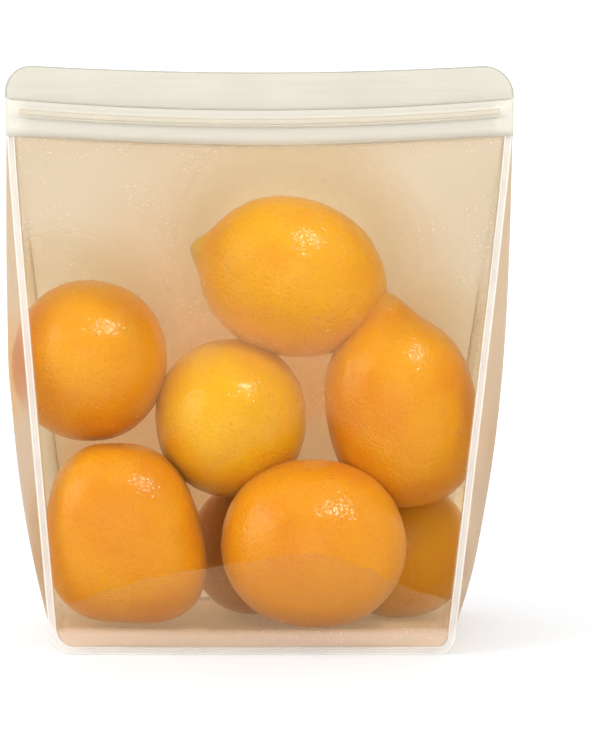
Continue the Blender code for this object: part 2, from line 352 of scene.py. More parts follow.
# Materials ----------------------------------------------------------------------------------------
def peel_material(settings):
    """Citrus peel: from lemon to orange by how ripe each fruit is, and past that towards a painted
    shade for the fruit that lies in shade behind the others, with uneven colour, darker oil pores, a
    glossy skin and a greenish tip."""
    material, n, output = new_material("citrus_peel")
    place = n.add("ShaderNodeAttribute", {"attribute_name": "peel_place"}).outputs["Vector"]
    green = n.add("ShaderNodeAttribute", {"attribute_name": "greenness"}).outputs["Fac"]
    ripeness = n.add("ShaderNodeAttribute", {"attribute_name": "ripeness"}).outputs["Fac"]
    base = n.blend(ripeness, colour(settings.lemon), colour(settings.orange))
    # Painted shade: past 1 the peel goes on towards a darker colour, for the fruit that lies in shade
    # behind the others
    base = n.blend(n.spread(ripeness, 1.0, 2.0), base, colour(settings.shaded))
    deep = n.blend(1.0, base, (0.93, 0.78, 0.6, 1.0), "MULTIPLY")
    patches = n.spread(n.noise(place, 30.0, 3.0), 0.38, 0.72)
    colour_now = n.blend(patches, base, deep)
    pores = n.spread(n.cells(place, 1 / settings.pore_spacing), 0.08, 0.5)
    colour_now = n.blend(n.math("MULTIPLY", n.math("SUBTRACT", 1.0, pores), 0.4), colour_now, deep)
    colour_now = n.blend(green, colour_now, colour(settings.tip))
    normal = n.bump(pores, 1.0, settings.pore_depth)
    pebbles = n.noise(place, 1.0 / settings.pore_spacing, 0.0)
    skin_normal = n.bump(pebbles, 1.0, 2.4 * settings.pore_depth)
    skin = n.add(
        "ShaderNodeBsdfPrincipled",
        Base_Color=colour_now,
        Roughness=0.35,
        Specular_IOR_Level=0.2,
        Specular_Tint=(1.0, 0.75, 0.3, 1.0),
        Coat_Weight=0.6,
        Coat_Roughness=0.04,
        Sheen_Weight=0.15,
        Sheen_Roughness=0.45,
        Sheen_Tint=(1.0, 0.68, 0.30, 1.0),
        Normal=normal,
        Coat_Normal=skin_normal,
    )
    n.put(output.inputs["Surface"], skin.outputs[0])
    return material


# Levels between which the film's tint and its painted glow and shade from the fruit change, and the
# hem along the bottom, which is painted lighter as if lit
MIDDLE_LEVELS = (0.10, 0.17)
HIGH_LEVELS = (0.145, 0.225)
# Painted light: the hem along the bottom is painted lighter, as if lit from the front
HEM_PAINTED_LIGHT_LEVELS = (0.006, 0.022)
HEM_LEVELS = (0.0085, 0.0125)
HEM_PAINTED_LIGHT_SHARE = 0.95
HEM_COVER = 0.82
# Painted light: the sides take less of the painted glow and shade from the fruit
SIDE_LIFT = 0.12  # how much paler, as a level, the film is at the sides
FLECK_COVER = 0.34


def film_material(name, settings, haze, pane, lift=0.0, edge=0.4, speckled=False):
    """Frosted film. It is clear where fruit touches it, and hazes as the fruit falls back: haze gives the
    distances between which it hazes and the shares that it hides there. Low on the bag its colour is a
    painted orange glow and painted shade for the light among the fruit, and towards the zip and the sides
    it is paler, with less of that painted glow. Along the bottom the hem is painted lighter, as if lit.
    pane is the colour of the light that passes straight through, lift makes all of the film paler by
    taking less of the painted glow and shade, edge is what it hides more where it is seen edge on, and
    speckled adds small light flecks."""
    near, far, clear, hazy = haze
    material, n, output = new_material(name)
    place = n.add("ShaderNodeTexCoord").outputs["Object"]
    gap = n.add("ShaderNodeAttribute", {"attribute_name": "fruit_gap"}).outputs["Fac"]
    axes = n.add("ShaderNodeSeparateXYZ", Vector=place).outputs
    uneven = n.math("MULTIPLY", n.math("SUBTRACT", n.noise(place, 18.0, 2.0), 0.5), 0.05)
    sideways = n.math("ABSOLUTE", n.math("DIVIDE", axes["X"], 0.1))
    side = n.math("MULTIPLY", n.math("POWER", sideways, 4.0), SIDE_LIFT)
    level = n.math("ADD", n.math("ADD", axes["Z"], uneven), n.math("ADD", side, lift))
    low, middle, high, hem_tint_with_painted_light = (
        colour(shade)
        for shade in (settings.low_tint_with_painted_glow, settings.middle_tint_with_painted_glow, settings.high_tint, settings.hem_tint_with_painted_light)
    )
    # Painted light: low on the bag the colour is a painted orange glow and painted shade for the light
    # among the fruit, going through a painted glow half way up to the paler film under the zip
    tint = n.blend(n.spread(level, *MIDDLE_LEVELS), low, middle)
    tint = n.blend(n.spread(level, *HIGH_LEVELS), tint, high)
    # Painted light: the hem along the bottom is painted lighter, as if lit
    tint = n.blend(n.spread(axes["Z"], *HEM_PAINTED_LIGHT_LEVELS, HEM_PAINTED_LIGHT_SHARE, 0.0), tint, hem_tint_with_painted_light)
    cover = n.spread(gap, near, far, clear, hazy)
    hem = n.spread(axes["Z"], *HEM_LEVELS, HEM_COVER, 0.0)
    cover = n.math("MAXIMUM", cover, hem)
    edge_on = n.add("ShaderNodeLayerWeight", Blend=0.5).outputs["Facing"]
    cover = n.math("ADD", cover, n.spread(edge_on, 0.72, 1.0, 0.0, edge), clamp=True)
    if speckled:
        specks = n.spread(n.noise(place, 950.0, 1.0), 0.64, 0.72)
        few = n.spread(n.noise(place, 40.0, 1.0), 0.42, 0.60, 0.0, FLECK_COVER)
        cover = n.math("ADD", cover, n.math("MULTIPLY", specks, few), clamp=True)
    soft = n.noise(n.vector("MULTIPLY", place, (1.0, 1.0, 0.35)), 55.0, 3.0)
    normal = n.bump(soft, 0.28, 0.0012)
    see_through(n, output, tint, normal, 0.45, 0.3, 0.4, pane, cover)
    return material


def film_inside():
    """The inner face of the film: nearly clear, with a little gloss."""
    name = "film_inside"
    if name in bpy.data.materials:
        return bpy.data.materials[name]
    material, n, output = new_material(name)
    place = n.add("ShaderNodeTexCoord").outputs["Object"]
    face = n.add(
        "ShaderNodeBsdfPrincipled",
        Base_Color=(0.72, 0.46, 0.18, 1.0),
        Roughness=0.4,
        Specular_IOR_Level=0.3,
        Alpha=0.02,
        Normal=n.bump(n.noise(place, 300.0, 1.0), 0.2, 0.0002),
    )
    n.put(output.inputs["Surface"], face.outputs[0])
    return material


def milky_material(name, tint, cover, roughness, streaks=0.0):
    """Welded or doubled film and the zip's plastic: milky, with fine lines along the mouth."""
    material, n, output = new_material(name)
    place = n.add("ShaderNodeTexCoord").outputs["Object"]
    mottle = n.spread(n.noise(place, 90.0, 3.0), 0.3, 0.7)
    shade = n.blend(mottle, colour([0.96 * c for c in tint]), colour(tint))
    lines = n.noise(n.vector("MULTIPLY", place, (0.03, 1.0, 1.0)), 1500.0, 2.0)
    grain = n.noise(place, 700.0, 2.0)
    normal = n.bump(lines, streaks, 0.0003, n.bump(grain, 0.2, 0.0002))
    see_through(n, output, shade, normal, roughness, 0.4, 0.4, WHITE, cover)
    return material


def mouth_material(name, settings):
    """The film of the mouth: the lips let some light through, and the zip band is whiter and denser."""
    material, n, output = new_material(name)
    place = n.add("ShaderNodeTexCoord").outputs["Object"]
    axes = n.add("ShaderNodeSeparateXYZ", Vector=place).outputs
    side = n.math("POWER", n.math("DIVIDE", n.math("MULTIPLY", axes["X"], 2.0), MOUTH_WIDTH), 2.0)
    sag = n.math("MULTIPLY", n.math("SUBTRACT", 1.0, side), ZIP_SAG)
    level = n.math("SUBTRACT", n.math("ADD", axes["Z"], sag), BELLY_TOP)
    in_band = n.spread(level, BAND_HEIGHT, BAND_HEIGHT + MOUTH_SLOPE, 1.0, 0.0)
    streaks = n.noise(n.vector("MULTIPLY", place, (0.05, 1.0, 1.0)), 420.0, 2.0)
    clouds = n.math("MULTIPLY", n.noise(place, 40.0, 3.0), 0.4)
    mottle = n.math("ADD", n.math("MULTIPLY", streaks, 0.6), clouds)
    darker = [0.93 * c for c in settings.tint]
    lip = n.blend(n.spread(mottle, 0.35, 0.65), colour(darker), colour(settings.tint))
    shade = n.blend(in_band, lip, colour(settings.band))
    cover = n.spread(in_band, 0.0, 1.0, 0.74, 0.88)
    grain = n.noise(place, 700.0, 2.0)
    normal = n.bump(streaks, 0.15, 0.0003, n.bump(grain, 0.15, 0.0002))
    see_through(n, output, shade, normal, 0.38, 0.4, 0.3, WHITE, cover)
    return material


def stage_material(name):
    """Plain matt white with a painted glow: it is self-lit everywhere, a little more away from the bag, so
    that it stays as bright as the room and the bag's shadow on it stays faint.
    """
    material, n, output = new_material(name)
    place = n.add("ShaderNodeTexCoord").outputs["Object"]
    grain = n.bump(n.noise(place, 120.0, 2.0), 0.05, 0.001)
    away = n.add("ShaderNodeVectorMath", {"operation": "LENGTH"})
    n.put(away.inputs[0], place)
    glow = n.spread(away.outputs["Value"], 0.16, 0.8, 0.30, 0.48)
    paint = n.add(
        "ShaderNodeBsdfPrincipled",
        Base_Color=(0.76, 0.785, 0.80, 1.0),
        Roughness=0.85,
        Specular_IOR_Level=0.1,
        Emission_Color=(1.0, 1.0, 1.0, 1.0),
        Emission_Strength=glow,
        Normal=grain,
    )
    n.put(output.inputs["Surface"], paint.outputs[0])
    return material


# Mesh helpers -------------------------------------------------------------------------------------
def link(obj):
    bpy.context.scene.collection.objects.link(obj)
    return obj


def lofted(name, sections):
    """A mesh object with faces between each section and the next, all turned the same way."""
    bm = bmesh.new()
    grid = [[bm.verts.new(point) for point in section] for section in sections]
    for lower, upper in zip(grid, grid[1:]):
        for i in range(len(lower) - 1):
            bm.faces.new((lower[i], lower[i + 1], upper[i + 1], upper[i]))
    bmesh.ops.recalc_face_normals(bm, faces=bm.faces)
    mesh = bpy.data.meshes.new(name)
    bm.to_mesh(mesh)
    bm.free()
    mesh.shade_smooth()
    mesh.set_sharp_from_angle(angle=SHARP_ANGLE)
    return link(bpy.data.objects.new(name, mesh))


def leaned(sections):
    """The same points with the bag's lean."""
    return [[Vector((p.x + lean(p.z), p.y, p.z)) for p in section] for section in sections]


def upright(sections):
    """The same points without the bag's lean."""
    return [[Vector((p.x - lean(p.z), p.y, p.z)) for p in section] for section in sections]


def face_outwards(obj, centre=Vector((0, 0, 0.1))):
    """Turns an open sheet so that its faces look away from the bag's middle."""
    mesh = obj.data
    score = sum((face.center - centre).dot(face.normal) * face.area for face in mesh.polygons)
    if score < 0:
        mesh.flip_normals()


def thicken(obj, thickness, outside, inside):
    """Gives an open sheet its wall, on the inside, with a plainer finish on the inner face. The outer
    face carries all of the haze."""
    obj.data.materials.clear()
    obj.data.materials.append(outside)
    obj.data.materials.append(inside)
    solid = obj.modifiers.new("wall", "SOLIDIFY")
    solid.thickness = thickness
    solid.offset = -1.0
    solid.material_offset = 1
    apply_modifiers(obj)


def apply_modifiers(obj):
    """The object's evaluated mesh as a plain mesh, with no modifier left."""
    depsgraph = bpy.context.evaluated_depsgraph_get()
    mesh = bpy.data.meshes.new_from_object(obj.evaluated_get(depsgraph))
    old = obj.data
    obj.modifiers.clear()
    obj.data = mesh
    if old.users == 0:
        bpy.data.meshes.remove(old)


def add_attribute(obj, name, values):
    attribute = obj.data.attributes.new(name, "FLOAT", "POINT")
    attribute.data.foreach_set("value", values)


def store_fruit_gap(obj):
    """Keeps on each point of a film how far the nearest fruit is from it."""
    trees = fruit_trees()
    gaps = [min(tree.find_nearest(v.co)[3] for tree in trees) for v in obj.data.vertices]
    add_attribute(obj, "fruit_gap", gaps)


# Fruit --------------------------------------------------------------------------------------------
FRUIT_INPUTS = (
    ("Half width", 0.03),
    ("Half depth", 0.03),
    ("Half length", 0.03),
    ("Squareness", 2.0),
    ("Taper", 0.0),
    ("Lean", 0.0),
    ("Tip height", 0.0),
    ("Tip width", 0.2),
    ("Stem height", 0.0),
    ("Stem width", 0.3),
    ("Unevenness", 0.05),
    ("Pore depth", 0.0002),
    ("Pore spacing", 0.0016),
    ("Ripeness", 0.0),
    ("Green tip", 0.0),
    ("Green stem", 0.0),
    ("Seed", 0.0),
    ("Fineness", FINE),
)


def fruit_nodes():
    """Geometry Nodes that turn a sphere into a citrus fruit: uneven, tipped, dented and pored."""
    tree, n, given = new_tree("citrus_fruit", FRUIT_INPUTS, "Peel")
    ball = n.add("GeometryNodeMeshIcoSphere", Radius=1.0, Subdivisions=given["Fineness"])
    unit = n.add("GeometryNodeInputPosition").outputs[0]
    axes = n.add("ShaderNodeSeparateXYZ", Vector=unit).outputs

    # rounder than a ball: the p-norm of the direction with p over 2 squares its shoulders
    powers = [n.math("POWER", n.math("ABSOLUTE", axis), given["Squareness"]) for axis in axes]
    total = n.math("ADD", n.math("ADD", powers[0], powers[1]), powers[2])
    swell = n.math("POWER", total, n.math("DIVIDE", -1.0, given["Squareness"]))
    off_axis = n.math("SQRT", n.math("ADD", n.math("POWER", axes[0], 2.0), n.math("POWER", axes[1], 2.0)))

    def knob(width, height, sign):
        share = n.math("DIVIDE", off_axis, width)
        bell = n.math("EXPONENT", n.math("MULTIPLY", n.math("MULTIPLY", share, share), -1.0))
        side = n.spread(n.math("MULTIPLY", axes[2], sign), 0.0, 0.5)
        return n.math("MULTIPLY", n.math("MULTIPLY", bell, side), height)

    tip = n.math("ADD", knob(given["Tip width"], given["Tip height"], 1.0),
                 knob(given["Stem width"], given["Stem height"], -1.0))
    shift = n.add("ShaderNodeCombineXYZ", X=given["Seed"], Y=given["Seed"], Z=given["Seed"]).outputs[0]
    wander = n.math("SUBTRACT", n.noise(n.vector("ADD", unit, shift), 1.1, 2.0), 0.5)
    reach = n.math("ADD", n.math("ADD", swell, tip), n.math("MULTIPLY", wander, given["Unevenness"]))
    narrower = n.math("SUBTRACT", 1.0, n.math("MULTIPLY", axes[2], given["Taper"]))
    size = n.add("ShaderNodeCombineXYZ", X=n.math("MULTIPLY", given["Half width"], narrower),
                 Y=given["Half depth"], Z=given["Half length"])
    place = n.vector("MULTIPLY", n.scaled(unit, reach), size.outputs[0])
    leaning = n.math("MULTIPLY", n.math("MULTIPLY", axes[2], given["Lean"]), given["Half width"])
    place = n.vector("ADD", place, n.add("ShaderNodeCombineXYZ", X=leaning).outputs[0])

    rate = n.math("DIVIDE", 1.0, given["Pore spacing"])
    pits = n.spread(n.cells(n.vector("ADD", place, shift), rate), 0.05, 0.55, -1.0, 0.0)
    uneven = n.math("SUBTRACT", n.noise(n.vector("ADD", place, shift), 170.0, 2.0), 0.5)
    dents = n.math("MULTIPLY", uneven, 2.0)
    relief = n.math("MULTIPLY", n.math("ADD", pits, dents), given["Pore depth"])
    normal = n.add("GeometryNodeInputNormal").outputs[0]
    place_out = n.vector("ADD", place, n.scaled(normal, relief))

    keep = n.add("GeometryNodeStoreNamedAttribute", {"data_type": "FLOAT_VECTOR"},
                 Geometry=ball.outputs["Mesh"], Name="peel_place", Value=n.vector("ADD", place, shift))
    tip_share = n.math("MULTIPLY", n.spread(axes[2], 0.955, 0.998), given["Green tip"])
    stem_share = n.math("MULTIPLY", n.spread(axes[2], -0.9995, -0.997, 1.0, 0.0), given["Green stem"])
    keep = n.add("GeometryNodeStoreNamedAttribute", {"data_type": "FLOAT"},
                 Geometry=keep.outputs[0], Name="greenness", Value=n.math("ADD", tip_share, stem_share))
    keep = n.add("GeometryNodeStoreNamedAttribute", {"data_type": "FLOAT"},
                 Geometry=keep.outputs[0], Name="ripeness", Value=given["Ripeness"])
    moved = n.add("GeometryNodeSetPosition", Geometry=keep.outputs[0], Position=place_out)
    end_tree(n, moved, given["Peel"])
    return tree


def run_nodes(obj, tree, values):
    """Runs a node tree on obj with these inputs and keeps the result as a plain mesh."""
    modifier = obj.modifiers.new(tree.name, "NODES")
    modifier.node_group = tree
    sockets = {item.name: item.identifier for item in tree.interface.items_tree if item.in_out == "INPUT"}
    for label, value in values.items():
        modifier[sockets[label]] = value
    apply_modifiers(obj)


def fruit_matrix(name):
    centre, turns = FRUIT[name][1], FRUIT[name][3]
    turn = Matrix.Identity(4)
    for axis, angle in zip("XYZ", turns):
        turn = Matrix.Rotation(math.radians(angle), 4, axis) @ turn
    return Matrix.Translation(centre) @ turn


def make_fruit(name, tree, settings, peel, seed):
    """One fruit: the node tree makes it round the origin, and its place then goes into its mesh."""
    kind, _, half_sizes, _, ripeness = FRUIT[name]
    obj = link(bpy.data.objects.new(name, bpy.data.meshes.new(name)))
    values = dict(zip(("Half width", "Half depth", "Half length"), half_sizes))
    values.update(zip(FORM_INPUTS, FRUIT_FORMS[kind]))
    values["Unevenness"] *= settings.unevenness
    values.update({
        "Pore depth": settings.pore_depth,
        "Pore spacing": settings.pore_spacing,
        "Ripeness": ripeness,
        "Seed": seed,
        "Fineness": COARSE if name.startswith("hidden") else FINE,
        "Peel": peel,
    })
    run_nodes(obj, tree, values)
    obj.data.transform(fruit_matrix(name))
    return obj


def fruit_trees():
    """A search tree for each fruit."""
    depsgraph = bpy.context.evaluated_depsgraph_get()
    return [BVHTree.FromObject(bpy.data.objects[name], depsgraph) for name in FRUIT]


# Film ---------------------------------------------------------------------------------------------
CLEARANCE = 0.0013  # between the fruit and the outside of the film, with the inner fold between them
RELAXING = 90  # rounds that draw the film tight over the fruit
FAR_OUT = 0.25


def panel_rows(side):
    """Rows of points of a slack panel, bottom to top. side is -1 for the front and +1 for the back."""
    levels = [(*corner, 0.0) for corner in corner_rows(PANEL_CORNERS)]
    levels += [(max(PANEL_CORNERS), 0.0, 0.0, k / BELLY_ROWS) for k in range(1, BELLY_ROWS + 1)]
    rows = []
    for lift, left, right, share in levels:
        row = []
        for i in range(COLUMNS + 1):
            s = -1 + 2 * i / COLUMNS
            top = belly_top(s * seam_half_width(BELLY_TOP))
            z = WELD_WIDTH + lift
            z += (top - z) * share
            x = across(s, seam_half_width(z), left, right)
            row.append(Vector((x, side * panel_depth(s, z, top) + mouth_bow(x, z), z)))
        rows.append(row)
    return rows


def seam_path(rows):
    """The edge of a panel below the zip: down its left side, along the bottom and up its right side."""
    left = [row[0] for row in reversed(rows)]
    right = [row[-1] for row in rows]
    return left + rows[0][1:-1] + right


def across_path(path, k):
    """Unit vector in the panel's plane that points to the left of the path at its point k."""
    before, after = path[max(k - 1, 0)], path[min(k + 1, len(path) - 1)]
    return Vector((before.z - after.z, 0, after.x - before.x)).normalized()


def outward(path, k):
    """Unit vector in the panel's plane that points away from the panel, at point k of its seam."""
    return -across_path(path, k)


def gusset_sections(front_rows, back_rows):
    """Sections of the slack gusset from the front seam to the back one, and the way it faces at each."""
    front, back = seam_path(front_rows), seam_path(back_rows)
    sections, ways = [], []
    for k, (start, end) in enumerate(zip(front, back)):
        away = outward(front, k)
        thick = Vector((0, min(WELD_THICKNESS, 0.4 * (end.y - start.y)), 0))
        section = []
        for j in range(GUSSET_STEPS + 1):
            v = -1 + 2 * j / GUSSET_STEPS
            arch = 1 - v * v
            floor = (FLOOR_SAG + FLOOR_WAVE * v) * arch
            swell = side_bulge(start.z) * arch * away.x**2 + floor * away.z**2
            section.append((start + thick).lerp(end - thick, j / GUSSET_STEPS) + away * swell)
        sections.append(section)
        ways.append(away)
    return sections, ways


def needed_push(point, way, trees):
    """How far a film point has to move along way so that it lies outside all the fruit."""
    start = point + way * FAR_OUT
    reach = [FAR_OUT - hit[3] for hit in (tree.ray_cast(start, -way, FAR_OUT) for tree in trees) if hit[0]]
    return max(max(reach) + CLEARANCE, 0.0) if reach else 0.0


def draw_tight(rows, way_at):
    """Draws a slack sheet tight over the fruit. Its edges stay, and between the fruit it spans like a
    stretched film."""
    trees = fruit_trees()
    height, width = len(rows), len(rows[0])
    needed = [[0.0] * width for _ in range(height)]
    for j in range(1, height - 1):
        for i in range(1, width - 1):
            needed[j][i] = needed_push(rows[j][i], way_at(j, i), trees)
    push = [row[:] for row in needed]
    for _ in range(RELAXING):
        for j in range(1, height - 1):
            row, above, below, least = push[j], push[j + 1], push[j - 1], needed[j]
            for i in range(1, width - 1):
                mean = (row[i - 1] + row[i + 1] + above[i] + below[i]) * 0.2475
                row[i] = mean if mean > least[i] else least[i]
    return [[rows[j][i] + way_at(j, i) * push[j][i] for i in range(width)] for j in range(height)]


def film_piece(name, sections, outside, inside, wall):
    """An open sheet with its wall, its haze and its material, declared as film of the bag."""
    obj = lofted(name, leaned(sections))
    face_outwards(obj)
    store_fruit_gap(obj)
    thicken(obj, wall, outside, inside)
    declare(obj)
    return obj


def declare(obj):
    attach(obj, BODY)
    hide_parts("bag")


def panel_point(rows, i, z):
    """Where column i of a drawn panel stands at height z."""
    for lower, upper in zip(rows, rows[1:]):
        if lower[i].z <= z <= upper[i].z:
            return lower[i].lerp(upper[i], (z - lower[i].z) / (upper[i].z - lower[i].z))
    return rows[0][i].copy() if z < rows[0][i].z else rows[-1][i].copy()


# The upper edge of the gusset's front fold, behind the front panel: x and height
FOLD_EDGE = (
    (-0.090, 0.0160), (-0.072, 0.0215), (-0.055, 0.0275), (-0.040, 0.0325), (-0.0236, 0.0361),
    (-0.003, 0.0394), (0.0135, 0.0428), (0.0236, 0.0438), (0.034, 0.0410), (0.0433, 0.0369),
    (0.0571, 0.0295), (0.0672, 0.0252), (0.0789, 0.0222), (0.095, 0.0190),
)
FOLD_ROWS = 24
FOLD_START = 3  # row of the front panel where the fold begins
FOLD_MARGIN = 2  # columns of the front panel beside the fold
FOLD_LEAST = 0.004  # least height of the fold
FOLD_BEHIND = 0.00062  # between the outside of the front panel and that of the fold
FOLD_FLARE = 0.0006  # what the fold's upper edge stands back further
FOLD_FILM = 0.0003


def fold_height(x):
    for (x0, z0), (x1, z1) in zip(FOLD_EDGE, FOLD_EDGE[1:]):
        if x <= x1:
            t = min(max((x - x0) / (x1 - x0), 0.0), 1.0)
            t = t * t * (3 - 2 * t)
            return z0 + (z1 - z0) * t
    return FOLD_EDGE[-1][1]


# Strips that follow a path ------------------------------------------------------------------------
STRIP_INPUTS = (
    ("Half width", 0.001),
    ("Half thickness", 0.0004),
    ("Set out", 0.0),
    ("Set back", 0.0),
    ("Squareness", 3.0),
    ("Ripple", 0.0),
    ("Ripple length", 0.004),
)
STRIP_SIDES = 16


def strip_nodes():
    """Geometry Nodes that lay a moulded strip along a path. The path is a chain of edges whose attribute
    out_way says where the strip's width points. Its thickness is along Y."""
    tree, n, given = new_tree("moulded_strip", STRIP_INPUTS, "Finish")
    size = n.add("GeometryNodeAttributeDomainSize", Geometry=given["Geometry"]).outputs["Point Count"]
    rows = n.math("ADD", size, 2.0)
    grid = n.add("GeometryNodeMeshGrid", Vertices_X=rows, Vertices_Y=STRIP_SIDES + 1)
    index = n.add("GeometryNodeInputIndex").outputs[0]
    row = n.math("FLOOR", n.math("DIVIDE", n.math("ADD", index, 0.5), STRIP_SIDES + 1.0))
    column = n.math("SUBTRACT", index, n.math("MULTIPLY", row, STRIP_SIDES + 1.0))
    inner = n.math("MINIMUM", n.math("MAXIMUM", n.math("SUBTRACT", row, 1.0), 0.0),
                   n.math("SUBTRACT", size, 1.0))
    at_start = n.math("MINIMUM", row, 1.0)
    at_end = n.math("MINIMUM", n.math("SUBTRACT", n.math("SUBTRACT", rows, 1.0), row), 1.0)
    closing = n.math("MULTIPLY", at_start, at_end)

    def taken(kind, value):
        node = n.add("GeometryNodeSampleIndex", {"data_type": kind, "domain": "POINT"})
        n.put(node.inputs["Geometry"], given["Geometry"])
        n.put(node.inputs["Value"], value)
        n.put(node.inputs["Index"], inner)
        return node.outputs[0]

    spine = taken("FLOAT_VECTOR", n.add("GeometryNodeInputPosition").outputs[0])
    stored = n.add("GeometryNodeInputNamedAttribute", {"data_type": "FLOAT_VECTOR"}, Name="out_way")
    way = taken("FLOAT_VECTOR", stored.outputs["Attribute"])
    angle = n.math("MULTIPLY", column, 2 * math.pi / STRIP_SIDES)
    power = n.math("DIVIDE", 2.0, given["Squareness"])

    def rounded(function):
        wave = n.math(function, angle)
        return n.math("MULTIPLY", n.math("SIGN", wave), n.math("POWER", n.math("ABSOLUTE", wave), power))

    wide = n.math("MULTIPLY", n.math("MULTIPLY", rounded("COSINE"), given["Half width"]), closing)
    thick = n.math("MULTIPLY", n.math("MULTIPLY", rounded("SINE"), given["Half thickness"]), closing)
    uneven = n.noise(spine, n.math("DIVIDE", 1.0, given["Ripple length"]), 2.0)
    ripple = n.math("MULTIPLY", n.math("SUBTRACT", uneven, 0.5), given["Ripple"])
    out = n.math("ADD", wide, given["Set out"])
    back = n.math("ADD", n.math("ADD", thick, given["Set back"]), ripple)
    place = n.vector("ADD", spine, n.scaled(way, out))
    place = n.vector("ADD", place, n.add("ShaderNodeCombineXYZ", Y=back).outputs[0])
    moved = n.add("GeometryNodeSetPosition", Geometry=grid.outputs["Mesh"], Position=place)
    closed = n.add("GeometryNodeMergeByDistance", Geometry=moved.outputs[0], Distance=2e-6)
    end_tree(n, closed, given["Finish"])
    return tree


def strip(name, tree, path, ways, finish, **sizes):
    """A strip along path, with the way its width points at each of its points."""
    mesh = bpy.data.meshes.new(name)
    mesh.from_pydata(path, [(i, i + 1) for i in range(len(path) - 1)], [])
    stored = mesh.attributes.new("out_way", "FLOAT_VECTOR", "POINT")
    stored.data.foreach_set("vector", [value for way in ways for value in way])
    obj = link(bpy.data.objects.new(name, mesh))
    values = {key.replace("_", " "): value for key, value in sizes.items()}
    values["Finish"] = finish
    run_nodes(obj, tree, values)
    outside = bmesh.new()
    outside.from_mesh(obj.data)
    bmesh.ops.recalc_face_normals(outside, faces=outside.faces)
    outside.to_mesh(obj.data)
    outside.free()
    return obj


def joined(name, parts):
    """The parts as one object."""
    for part in parts:
        part.select_set(True)
    with bpy.context.temp_override(active_object=parts[0], selected_editable_objects=parts):
        bpy.ops.object.join()
    parts[0].name = name
    parts[0].data.name = name
    parts[0].select_set(False)
    return parts[0]


# Mouth --------------------------------------------------------------------------------------------
MOUTH_SKIRT = 0.0012  # the zip band's film starts this far above the belly's top line
MOUTH_COLUMNS = 150
LINE_STEPS = 140
LIP_ROWS = 16


def mouth_levels():
    """Heights above the belly, with half the thickness of the mouth at each, outside."""
    bead_low, bead_high = BEAD_LEVEL - BEAD_HEIGHT / 2, BEAD_LEVEL + BEAD_HEIGHT / 2
    slope = MOUTH_SLOPE
    return [
        (-MOUTH_SKIRT, BAND_HALF),
        (0.003, BAND_HALF),
        (bead_low - slope, BAND_HALF),
        (bead_low, BEAD_HALF),
        (BEAD_LEVEL, BEAD_HALF + 0.0002),
        (bead_high, BEAD_HALF),
        (bead_high + slope, BAND_HALF),
        (BAND_HEIGHT, BAND_HALF),
        (BAND_HEIGHT + slope, LIP_HALF),
    ]


def mouth_point(x, z, side, half):
    """A point of the closed mouth's outside."""
    open_share = 1 - abs(2 * x / MOUTH_WIDTH) ** SEAL_ONSET
    thick = SEAL_HALF + (half - SEAL_HALF) * open_share
    return Vector((x, side * thick + mouth_bow(x, z), z))


def lip_top(x):
    return HEIGHT - LIP_SAG * dip(x)


def mouth_rows(side):
    """Rows of one side of the mouth, from the skirt under the zip to the lip's upper edge."""
    rows = []
    half_width = MOUTH_WIDTH / 2
    steps = [-1 + 2 * i / MOUTH_COLUMNS for i in range(MOUTH_COLUMNS + 1)]
    for level, half in mouth_levels():
        row = []
        for s in steps:
            x = s * half_width
            row.append(mouth_point(x, belly_top(x) + level, side, half))
        rows.append(row)
    low = BAND_HEIGHT + MOUTH_SLOPE
    corner = list(reversed(corner_rows(LIP_CORNERS)))
    for k in range(1, LIP_ROWS):
        row = []
        for s in steps:
            x = s * half_width
            start = belly_top(x) + low
            end = lip_top(x) - corner[0][0]
            z = start + (end - start) * k / LIP_ROWS
            row.append(mouth_point(x, z, side, LIP_HALF))
        rows.append(row)
    for down, left, right in corner:
        row = []
        for s in steps:
            x = across(s, half_width, left, right)
            row.append(mouth_point(x, lip_top(x) - down, side, LIP_HALF))
        rows.append(row)
    return rows


def along_mouth(level, side, half, reach, count=LINE_STEPS):
    """Points along the mouth at a level above the belly, for a strip."""
    points = []
    for k in range(count + 1):
        x = reach * (-1 + 2 * k / count)
        points.append(mouth_point(x, belly_top(x) + level, side, half))
    return points


def lip_edge(side):
    """The edge of one lip, from its left side round the corners to its right side, and the way out."""
    points = []
    for s, corner in ((-1, corner_rows(LIP_CORNERS)[::-1]), (1, corner_rows(LIP_CORNERS))):
        for down, left, right in corner:
            x = across(s, MOUTH_WIDTH / 2, left, right)
            points.append(mouth_point(x, lip_top(x) - down, side, LIP_HALF))
        if s < 0:
            start, end = points[-1].x, across(1, MOUTH_WIDTH / 2, *LIP_CORNERS)
            for k in range(1, MOUTH_COLUMNS):
                x = start + (end - start) * k / MOUTH_COLUMNS
                points.append(mouth_point(x, lip_top(x), side, LIP_HALF))
    return points, [across_path(points, k) for k in range(len(points))]


# Settings -----------------------------------------------------------------------------------------
class FruitSettings(bpy.types.PropertyGroup):
    pore_depth: FloatProperty(
        name="Pore depth", description="Depth of the oil pores", default=0.00015, unit="LENGTH"
    )
    pore_spacing: FloatProperty(
        name="Pore spacing", description="Distance between oil pores", default=0.0015, unit="LENGTH"
    )
    unevenness: FloatProperty(
        name="Unevenness", description="1 keeps the fruit as uneven as they are", default=1.0
    )
    orange: FloatVectorProperty(
        name="Orange peel", description="Colour of the oranges",
        default=(0.72, 0.28, 0.003), subtype="COLOR",
    )
    lemon: FloatVectorProperty(
        name="Lemon peel", description="Colour of the lemons", default=(0.80, 0.45, 0.006), subtype="COLOR"
    )
    # Painted shade: the darker peel given to the fruit that lies in shade behind the others
    shaded: FloatVectorProperty(
        name="Painted shade on the peel", description="Colour of the peel of fruit in painted shade",
        default=(0.46, 0.17, 0.07), subtype="COLOR",
    )
    tip: FloatVectorProperty(
        name="Greenish tip", description="Colour at a fruit's ends",
        default=(0.50, 0.38, 0.05), subtype="COLOR",
    )


